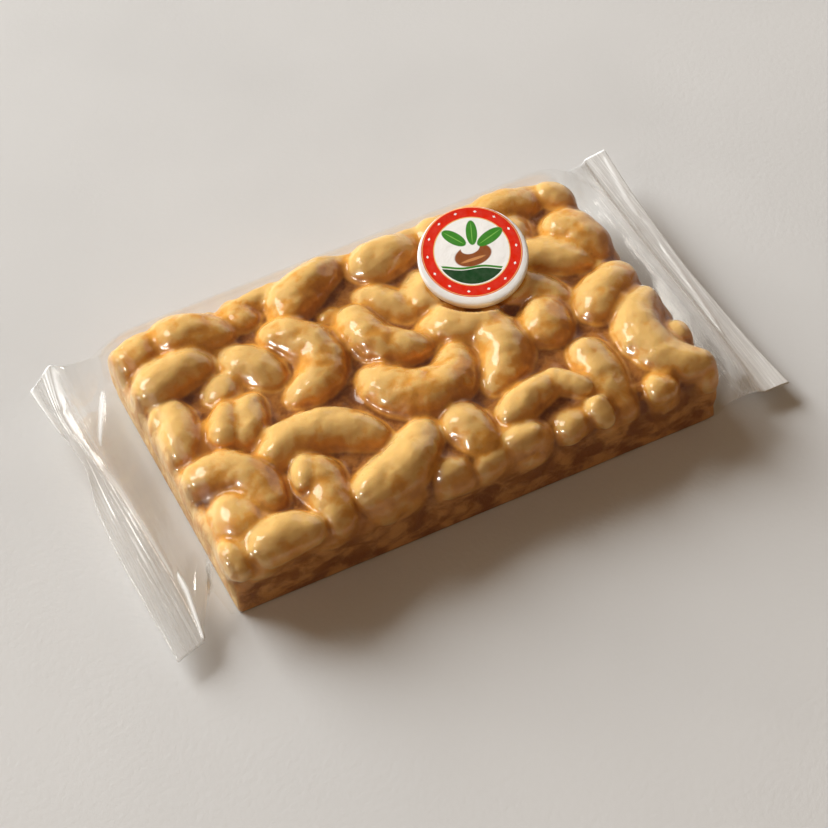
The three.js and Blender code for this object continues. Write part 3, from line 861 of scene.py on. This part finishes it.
def wall_row(blank, draw, span, level, wall_distance, wall_turn):
    """A row of nuts along a wall that is not given nut by nut."""

    def between(low, high):
        return low + (high - low) * next(draw)

    nuts = []
    margin = WALL_NUT_LENGTH[0] / 2
    x = margin - span / 2
    while x < span / 2 - margin:
        length = between(*WALL_NUT_LENGTH)
        slope = between(-WALL_NUT_SLOPE / 2, WALL_NUT_SLOPE / 2)
        width = between(*WALL_NUT_WIDTH)
        z = level + between(-WALL_NUT_DRIFT / 2, WALL_NUT_DRIFT / 2)
        curl = between(-WALL_NUT_CURL / 2, WALL_NUT_CURL / 2)
        nuts.append(wall_nut(blank, (x, z, slope, length, width, curl), wall_distance, wall_turn))
        x += length * between(*WALL_NUT_PITCH)
    return nuts


def all_nuts(blank):
    nuts = []
    for x, y, heading, length, width, curl, top, *rises in TOP_NUTS:
        rise = rises[0] if rises else 0
        level = top - width * NUT_THICKNESS / 2 - abs(rise) / 4
        placed = Matrix.Translation(Vector((x, y, level)) * MM) @ turned("Z", heading)
        nuts.append(nut_piece(blank, length, width, curl, placed, rise))
    front, end = BAR_WIDTH / 2, BAR_LENGTH / 2
    nuts += [wall_nut(blank, nut, front, 0) for nut in FRONT_NUTS]
    draw = repeatable(WALL_SEED)
    for span, distance, turn in ((BAR_LENGTH, front, 180), (BAR_WIDTH, end, 90), (BAR_WIDTH, end, -90)):
        for level in WALL_LEVELS:
            nuts += wall_row(blank, draw, span, level, distance, turn)
    return nuts


def caramel_slab():
    """The caramel that holds the nuts: a box with round upright corners."""
    height = CARAMEL_TOP + SLAB_DEPTH
    bpy.ops.mesh.primitive_cube_add(size=1, location=(0, 0, (CARAMEL_TOP - height / 2) * MM))
    slab = bpy.context.object
    slab.dimensions = (BAR_LENGTH * MM, BAR_WIDTH * MM, height * MM)
    bpy.ops.object.transform_apply(location=True, rotation=False, scale=True)
    bevel_edges(slab, True, CORNER_RADIUS, CORNER_STEPS)
    modify(slab, "BEVEL", width=EDGE_BEVEL * MM, segments=2, angle_limit=math.radians(60))
    places = corners(slab) / MM
    front = ramp(places[:, 1], 0, -BAR_WIDTH / 2)
    places[:, 1] += front * front_shift(places[:, 0], places[:, 2])
    put_corners(slab, places * MM)
    return slab


def cut_flat(piece, level):
    """Takes away what lies under a level, so that the piece rests flat."""
    bpy.ops.mesh.primitive_cube_add(size=CUTTER_SIZE, location=(0, 0, level + CUTTER_SIZE / 2))
    above = bpy.context.object
    modify(piece, "BOOLEAN", object=above, operation="INTERSECT", solver="MANIFOLD")
    bpy.data.objects.remove(above)


def eased(places, edges, rounds):
    """The same places after rounds of averaging with their neighbours."""
    a, b = edges[:, 0], edges[:, 1]
    count = np.bincount(edges.ravel(), minlength=len(places))[:, None]
    for _ in range(rounds):
        sums = [np.bincount(a, line[b], len(line)) + np.bincount(b, line[a], len(line)) for line in places.T]
        places = 0.5 * places + 0.5 * np.stack(sums, 1) / count
    return places


def depth_under(smooth, places, normals):
    """How deep each place lies under a smoother surface."""
    return ((smooth - places) * normals).sum(1)


def behind_front(places):
    """How far the wall next to each place is set back, in millimetres. Only the front one is."""
    return np.where(places[:, 1] < 0, front_shift(places[:, 0], places[:, 2]), 0)


def colour_bar(piece, nut_tree, nut_owner, slab_tree):
    """Keeps what the glaze reads: how far caramel pools together with painted shade in the hollows, on the
    flanks and on the side away from the light, nut or caramel, each nut's tint, and dull walls.
    """
    places, normals, edges = corners(piece), facings(piece), edge_ends(piece)
    near = depth_under(eased(places, edges, NEAR_ROUNDS), places, normals)
    wide = depth_under(eased(places, edges, WIDE_ROUNDS), places, normals)
    hollow = near / (NEAR_HOLLOW * MM) + wide / (WIDE_HOLLOW * MM)
    level = places / MM
    x, y, z = level.T
    outside = np.stack((np.abs(x) - BAR_LENGTH / 2, np.abs(y - behind_front(level)) - BAR_WIDTH / 2), 1)
    wall = ramp(outside, *WALL_BAND) * np.abs(normals[:, :2])
    flank = np.clip(1 - normals[:, 2], 0, 1) * (1 - wall.max(1))
    sunk = ramp(z, *SUNK_LEVELS) * (normals[:, 2] > -0.3)
    random.seed(TINT_SEED)
    tints = [random.random() for _ in range(max(nut_owner) + 1)]
    nut, tint = np.zeros(len(places)), np.zeros(len(places))
    for i, place in enumerate(places):
        point = Vector(place)
        _, _, face, to_nut = nut_tree.find_nearest(point)
        _, _, _, to_slab = slab_tree.find_nearest(point)
        nut[i] = 0.6 + (to_slab - to_nut) / (NUT_BORDER * MM)
        tint[i] = tints[nut_owner[face]]
    # Pooled caramel and painted shade: hollows and flanks darken as shade would darken them.
    pool_and_shade = POOL_REST + POOL_HOLLOW * hollow + POOL_SUNK * sunk + POOL_FLANK * flank
    # Painted shade on the side that faces away from the light, and a paler painted highlight on the side that
    # faces it.
    pool_and_shade += POOL_SHADE_SIDE * (normals @ SHADE_SIDE) + POOL_CUT * wall[:, 0]
    pool_and_shade += (POOL_WALL + POOL_FOOT * ramp(z, *FOOT_LEVELS)) * wall[:, 1]
    store(piece, "pool_and_shade", np.clip(pool_and_shade, 0, 1))
    store(piece, "cut", wall[:, 0])
    store(piece, "matte", wall.max(1) * (0.3 + 0.7 * ramp(z, *DULL_LEVELS)))
    store(piece, "nut", np.clip(nut, 0, 1))
    store(piece, "tint", tint)


def tree_of(piece):
    """A search tree of the piece's faces."""
    return BVHTree.FromObject(piece, bpy.context.evaluated_depsgraph_get())


def lump_texture(name, kind, grain):
    texture = bpy.data.textures.new(name, kind)
    texture.noise_scale = grain * MM
    if kind == "CLOUDS":
        texture.noise_depth = 1
    return texture


def fill_hollows(piece):
    """Rounds off what is hollow, as caramel that has run there, and leaves what stands out."""
    edges = edge_ends(piece)
    for _ in range(FILLINGS):
        places = corners(piece)
        smooth = eased(places, edges, HOLLOW_ROUNDS)
        share = ramp(depth_under(smooth, places, facings(piece)), 0, HOLLOW_FILL * MM)
        put_corners(piece, places + share[:, None] * (smooth - places))


def press_walls(places, edges):
    """Flattens the lumps that stand out of the four walls, where the bar was cut from a larger sheet."""
    places = places / MM
    low, foot = ramp(places[:, 2], *PRESSED_LEVELS), ramp(places[:, 2], *FLUSH_LEVELS)
    shift = behind_front(places)
    places[:, 1] -= shift
    for axis, size, press in ((0, BAR_LENGTH, WALL_PRESS[0]), (1, BAR_WIDTH, WALL_PRESS[1] * low)):
        side = np.sign(places[:, axis])
        beyond = np.clip(np.abs(places[:, axis]) - size / 2 - WALL_REACH * (1 - foot), 0, None)
        places[:, axis] -= side * beyond * np.maximum(press, foot)
        inside = size / 2 - np.abs(places[:, axis])
        places[:, axis] += side * np.where(inside < WALL_SKIN, np.clip(inside, 0, None) * foot, 0)
    wall = ramp(np.abs(places[:, :2]) - np.array((BAR_LENGTH, BAR_WIDTH)) / 2, *CUT_EDGE)
    smear = WALL_SMEAR * np.maximum(wall[:, 0], wall[:, 1] * low)
    places[:, 1] += shift
    return (places + smear[:, None] * (eased(places, edges, CUT_ROUNDS) - places)) * MM


def brittle_bar():
    blank = nut_blank()
    nuts = all_nuts(blank)
    bpy.data.objects.remove(blank)
    select(*nuts)
    bpy.ops.object.convert(target="MESH")
    owner = [i for i, nut in enumerate(nuts) for _ in nut.data.polygons]
    bpy.ops.object.join()
    nuts = bpy.context.object
    bpy.ops.object.transform_apply(location=True, rotation=True, scale=True)
    slab = caramel_slab()
    nut_tree, slab_tree = tree_of(nuts), tree_of(slab)
    select(nuts, slab)
    bpy.ops.object.join()
    bar = bpy.context.object
    grain = sizes().grain * MM
    modify(bar, "REMESH", mode="VOXEL", voxel_size=grain)
    modify(bar, "SMOOTH", factor=0.5, iterations=sizes().fillet)
    fill_hollows(bar)
    for name, kind, size, sign in DISPLACEMENTS:
        texture = lump_texture(name, kind, size)
        strength = sign * getattr(sizes(), name) * MM
        modify(bar, "DISPLACE", texture=texture, strength=strength, mid_level=0.5, texture_coords="LOCAL")
    modify(bar, "SMOOTH", factor=0.5, iterations=1)
    put_corners(bar, press_walls(corners(bar), edge_ends(bar)))
    put_corners(bar, press_under_label(corners(bar), 2 * FILM_GAP))
    cut_flat(bar, UNDERSIDE * MM)
    turn_outwards(bar)
    select(bar)
    bpy.ops.object.shade_smooth_by_angle(angle=math.radians(60))
    colour_bar(bar, nut_tree, owner, slab_tree)
    return bar


# The film.


def along(points, t):
    """The place at t, from 0 to 1, on a smooth line through points."""
    run = t * (len(points) - 1)
    first = min(int(run), len(points) - 2)
    f = run - first
    p = [np.array(points[min(max(first + k, 0), len(points) - 1)], dtype=float) for k in (-1, 0, 1, 2)]
    return 0.5 * (
        2 * p[1]
        + (p[2] - p[0]) * f
        + (2 * p[0] - 5 * p[1] + 4 * p[2] - p[3]) * f**2
        + (3 * p[1] - p[0] - 3 * p[2] + p[3]) * f**3
    )


def spread(outline, count):
    """Places at even distances along a bent line."""
    outline = np.array(outline, dtype=float)
    run = np.concatenate([[0], np.cumsum(np.linalg.norm(np.diff(outline, axis=0), axis=1))])
    steps = np.linspace(0, run[-1], count + 1)
    return np.stack([np.interp(steps, run, outline[:, k]) for k in range(outline.shape[1])], 1)


def ring(over, under):
    """One closed ring of the film: over the top from front to back, and back under the bottom."""
    return np.concatenate([over, under[-2:0:-1]])


def section(x, front, back, fold, bottom, top):
    """The film's ring round the bar. The front fold is low and the back fold is at the top edge."""
    r, foot = FILM_ROUNDING, FILM_FOOT
    lean = FRONT_LEAN * (top - r - fold)
    front_fold, back_fold = (x, front, fold), (x, back - 0.15 * r, top - 0.4 * r)
    over = [
        front_fold,
        (x, front + lean, top - r),
        (x, front + lean + 0.3 * r, top - 0.3 * r),
        (x, front + lean + r, top),
        (x, back - r, top),
        back_fold,
    ]
    under = [
        front_fold,
        (x, front, bottom + foot),
        (x, front + foot, bottom),
        (x, back - foot, bottom),
        (x, back, bottom + foot),
        (x, back, top - r),
        back_fold,
    ]
    return ring(spread(over, FILM_STEPS), spread(under, FILM_STEPS))


def strip_ring(strip, s):
    """A ring of a sealed strip, s from 0 at its outer edge to 1 at its inner edge."""
    outer, inner = zip(*strip)
    steps = np.linspace(0, 1, FILM_STEPS + 1)
    middle = np.array([along(outer, v) * (1 - s) + along(inner, v) * s for v in steps])
    height = STRIP_WAVE_HEIGHTS[outer[0][0] > 0] * max(ramp(s, *STRIP_RISE), STRIP_FLAT)
    wave = -0.5 * math.cos(2 * math.pi * STRIP_WAVES * s)
    for place in middle:
        swell = noise.noise(Vector((place[1] * 0.11, s * 3, place[0] * 0.05)))
        place[2] += height * wave * (1 + swell) + STRIP_SWELL * swell
    lift = np.array((0, 0, STRIP_THICKNESS / 2))
    return ring(middle + lift, middle - lift)


def blend(first, last, steps):
    """Rings between two others, without the first one and with the last."""
    return [first * (1 - t) + last * t for t in np.linspace(0, 1, steps + 1)[1:]]


def film_rings():
    """The film's rings from left to right, and which of them lie where the strips begin."""
    rings = [strip_ring(LEFT_STRIP, s) for s in np.linspace(0, 1, STRIP_STEPS + 1)]
    left_strip = len(rings)
    left_waist, left_end = section(*LEFT_WAIST), section(*LEFT_END)
    right_end, right_waist = section(*RIGHT_END), section(*RIGHT_WAIST)
    rings += blend(rings[-1], left_waist, WEB_STEPS) + blend(left_waist, left_end, 2)
    for x in np.linspace(-FILM_REACH, FILM_REACH, BAR_STEPS + 1)[1:-1]:
        share = (x + FILM_REACH) / (2 * FILM_REACH)
        top = FILM_TOP - FILM_DROP * ramp(abs(x), FILM_DROP_START, FILM_REACH)
        front, back, fold = FILM_FRONT - FRONT_SKEW * x, FILM_BACK + 0.2 * share, 4 - share
        rings.append(section(x, front, back, fold, FILM_BOTTOM, top))
    rings.append(right_end)
    right_edge = strip_ring(RIGHT_STRIP, 1)
    rings += blend(right_end, right_waist, 2) + blend(right_waist, right_edge, WEB_STEPS)
    right_strip = len(rings) - 1
    rings += [strip_ring(RIGHT_STRIP, s) for s in np.linspace(1, 0, STRIP_STEPS + 1)[1:]]
    return rings, left_strip, right_strip


def film_shell():
    """The film as one closed skin, and how free each vertex is to settle on the bar, from 0 to 1.

    Its UV map is in millimetres: U across the strips and V along them.
    """
    rings, left_strip, right_strip = film_rings()
    around = len(rings[0])
    places = np.concatenate(rings)
    faces = []
    for i in range(len(rings) - 1):
        for j in range(around):
            k = (j + 1) % around
            faces.append((i * around + j, (i + 1) * around + j, (i + 1) * around + k, i * around + k))
    for i in (0, len(rings) - 1):
        for j in range(FILM_STEPS):
            quad = [i * around + n for n in (j, j + 1, (around - j - 1) % around, (around - j) % around)]
            quad = list(dict.fromkeys(quad))
            faces.append(quad if i == 0 else quad[::-1])
    mesh = bpy.data.meshes.new("film")
    mesh.from_pydata((places * MM).tolist(), [], faces)
    film = new_object("film", mesh)
    turn_outwards(film)
    layer = mesh.uv_layers.new(name="film_run")
    spots = np.array([places[loop.vertex_index][:2] for loop in mesh.loops])
    layer.data.foreach_set("uv", spots.ravel())
    row = np.repeat(np.arange(len(rings)), around)
    return film, ramp(np.minimum(row - left_strip, right_strip - row), 0, FREE_ROWS)


def film_haze(film):
    """How whitish the film is at each vertex: least over the bar, more beside it, and most on the strips."""
    places = corners(film) / MM
    beyond = np.abs(places[:, 0]) - FILM_REACH
    right = places[:, 0] > 0
    web = np.where(right, HAZE_WEB[1] + HAZE_NEAR * ramp(places[:, 1], *NEAR_SPAN), HAZE_WEB[0])
    strip = np.where(right, HAZE_STRIP[1], HAZE_STRIP[0])
    return HAZE_BAR + web * ramp(beyond, 0, WEB_WIDTH) + strip * ramp(beyond, *STRIP_START)


def film_creases(film):
    """Raises the creases of the film's upper layer and keeps how white each one is, a painted glint along it.
    """
    places, normals = corners(film), facings(film)
    white = np.zeros(len(places))
    upper = ramp(normals[:, 2], -1 / 6, 1 / 6)
    flat = places[:, :2] / MM
    for line, width, height, glint_whiteness in FILM_CREASES:
        distance = np.full(len(places), np.inf)
        run = np.zeros(len(places))
        for k, (a, b) in enumerate(zip(line, line[1:])):
            a, b = np.array(a, dtype=float), np.array(b, dtype=float)
            t = np.clip(((flat - a) @ (b - a)) / ((b - a) @ (b - a)), 0, 1)
            gap = np.linalg.norm(flat - a - t[:, None] * (b - a), axis=1)
            run = np.where(gap < distance, (k + t) / (len(line) - 1), run)
            distance = np.minimum(distance, gap)
        taper = np.sqrt(np.clip(1 - np.abs(2 * run - 1) ** 3, 0.01, 1))
        bump = np.exp(-((distance / (width * taper)) ** 2)) * upper
        places[:, 2] += bump * height * sizes().crease * MM
        white = np.maximum(white, bump * glint_whiteness)
    put_corners(film, places)
    return white


def clear_film(bar):
    film, free = film_shell()
    group = film.vertex_groups.new(name="slack")
    above = ramp(corners(film)[:, 2] / MM, 0.5, 3)
    for i, weight in enumerate(free * above):
        group.add([i], float(weight), "REPLACE")
    wrap = {"wrap_method": "NEAREST_SURFACEPOINT", "wrap_mode": "OUTSIDE", "offset": FILM_GAP * MM}
    for _ in range(SETTLING_ROUNDS):
        modify(film, "SMOOTH", factor=0.5, iterations=8, vertex_group="slack")
        modify(film, "SHRINKWRAP", target=bar, **wrap)
    haze = film_haze(film)
    white = film_creases(film)
    places = press_under_label(corners(film), FILM_GAP / 2)
    places[:, 2] = np.maximum(places[:, 2], FILM_FLOOR * MM)
    put_corners(film, places)
    select(film)
    bpy.ops.object.shade_smooth()
    store(film, "haze", haze)
    store(film, "crease", white)
    return film


def round_label():
    """A thick round sticker with a soft rim."""
    radius, depth = LABEL_DIAMETER / 2 * MM, LABEL_THICKNESS * MM
    bpy.ops.mesh.primitive_cylinder_add(vertices=LABEL_SIDES, radius=radius, depth=depth)
    label = bpy.context.object
    bevel_edges(label, False, LABEL_BEVEL, BEVEL_STEPS)
    for face in label.data.polygons:
        face.select = abs(face.normal.z) > 0.99
    bpy.ops.object.mode_set(mode="EDIT")
    for inset in LABEL_INSETS:
        bpy.ops.mesh.inset(thickness=inset * MM)
    bpy.ops.object.mode_set(mode="OBJECT")
    places = corners(label)
    reach = np.hypot(places[:, 0], places[:, 1]) / radius
    places[:, 2] -= np.where(places[:, 2] > 0, LABEL_CROWN * MM * reach**2, 0) + depth / 2
    put_corners(label, places)
    label.data.transform(label_frame())
    select(label)
    bpy.ops.object.shade_smooth_by_angle(angle=math.radians(50))
    return label


class OBJECT_OT_brittle_bar(bpy.types.Operator):
    """Builds the bar: nuts held in caramel"""

    bl_idname = "object.brittle_bar"
    bl_label = "Brittle bar"

    def execute(self, context):
        finish_piece(brittle_bar(), "brittle", brittle_finish(), "bag")
        return {"FINISHED"}


class OBJECT_OT_brittle_film(bpy.types.Operator):
    """Wraps the bar in clear film with a sealed strip at each end"""

    bl_idname = "object.brittle_film"
    bl_label = "Clear film"

    def execute(self, context):
        bar = bpy.data.objects["brittle"]
        finish_piece(clear_film(bar), "film", film_finish(), "bag")
        return {"FINISHED"}


class OBJECT_OT_brittle_label(bpy.types.Operator):
    """Lays the round label on the film"""

    bl_idname = "object.brittle_label"
    bl_label = "Round label"

    def execute(self, context):
        finish_piece(round_label(), "round_label", label_finish(), "label")
        return {"FINISHED"}


def area_light(name, place, width, power, tint, shades, gleams):
    light = bpy.data.lights.new(name, "AREA")
    light.shape, light.size = "SQUARE", width
    light.energy, light.color = power, tint
    lamp = new_object(name, light)
    lamp.location = place
    lamp.visible_diffuse, lamp.visible_glossy = shades, gleams
    lamp.rotation_mode = "QUATERNION"
    lamp.rotation_quaternion = Vector(place).to_track_quat("Z", "Y")


class OBJECT_OT_brittle_stage(bpy.types.Operator):
    """Adds the floor, the light and the camera"""

    bl_idname = "object.brittle_stage"
    bl_label = "Floor, light and camera"

    def execute(self, context):
        scene = context.scene
        bpy.ops.mesh.primitive_plane_add(size=FLOOR_SIZE, location=(0, 0, FLOOR_LEVEL))
        floor = context.object
        floor.name = "floor"
        bpy.ops.object.transform_apply(location=True, rotation=False, scale=False)
        floor.data.materials.append(floor_finish())
        for light in LIGHTS:
            area_light(*light)
        self.add_label_light()
        world = bpy.data.worlds.new("soft_room")
        world.use_nodes = True
        background = world.node_tree.nodes["Background"]
        background.inputs["Color"].default_value = ROOM_TINT
        background.inputs["Strength"].default_value = ROOM_STRENGTH
        scene.world = world
        scene.view_settings.view_transform = "Standard"
        self.add_camera(scene)
        return {"FINISHED"}

    def add_label_light(self):
        """A narrow light on the label's face, which leans away from the key."""
        light = bpy.data.lights.new("label_light", "SPOT")
        light.energy, light.shadow_soft_size = LABEL_LIGHT_POWER, LABEL_LIGHT_SIZE
        light.spot_size = 2 * math.atan(LABEL_DIAMETER * MM / 2 / LABEL_LIGHT_HEIGHT)
        light.spot_blend = LABEL_LIGHT_BLEND
        lamp = new_object("label_light", light)
        lamp.matrix_world = label_frame() @ Matrix.Translation((0, 0, LABEL_LIGHT_HEIGHT))
        lamp.visible_glossy = False

    def add_camera(self, scene):
        azimuth, elevation = math.radians(CAMERA_AZIMUTH), math.radians(CAMERA_ELEVATION)
        level = math.cos(elevation)
        back = Vector((math.sin(azimuth) * level, -math.cos(azimuth) * level, math.sin(elevation)))
        camera = new_object("camera", bpy.data.cameras.new("camera"))
        camera.data.lens = CAMERA_LENS
        camera.data.clip_start, camera.data.clip_end = 0.01, 20
        camera.location = (Vector(CAMERA_TARGET) + back * CAMERA_DISTANCE) * MM
        camera.rotation_mode = "QUATERNION"
        roll = Quaternion((0, 0, 1), math.radians(CAMERA_ROLL))
        camera.rotation_quaternion = (-back).to_track_quat("-Z", "Y") @ roll
        scene.camera = camera


class VIEW3D_PT_brittle(bpy.types.Panel):
    """Lists the steps that build the bar"""

    bl_label = "Brittle"
    bl_idname = "VIEW3D_PT_brittle"
    bl_space_type = "VIEW_3D"
    bl_region_type = "UI"
    bl_category = "Brittle"

    def draw(self, context):
        for group in (context.scene.brittle_sizes, context.scene.brittle_colours):
            box = self.layout.box()
            for name in group.__annotations__:
                box.prop(group, name)
        for operator in STEPS:
            self.layout.operator(operator.bl_idname)


STEPS = (OBJECT_OT_brittle_bar, OBJECT_OT_brittle_film, OBJECT_OT_brittle_label, OBJECT_OT_brittle_stage)
CLASSES = (BrittleSizes, BrittleColours, *STEPS, VIEW3D_PT_brittle)


def register():
    for one in CLASSES:
        bpy.utils.register_class(one)
    bpy.types.Scene.brittle_sizes = bpy.props.PointerProperty(type=BrittleSizes)
    bpy.types.Scene.brittle_colours = bpy.props.PointerProperty(type=BrittleColours)


def unregister():
    del bpy.types.Scene.brittle_colours
    del bpy.types.Scene.brittle_sizes
    for one in reversed(CLASSES):
        bpy.utils.unregister_class(one)


def main():
    register()
    bpy.ops.object.select_all(action="DESELECT")
    bpy.ops.object.brittle_bar()
    bpy.ops.object.brittle_film()
    bpy.ops.object.brittle_label()
    bpy.ops.object.brittle_stage()


if __name__ == "__main__":
    main()
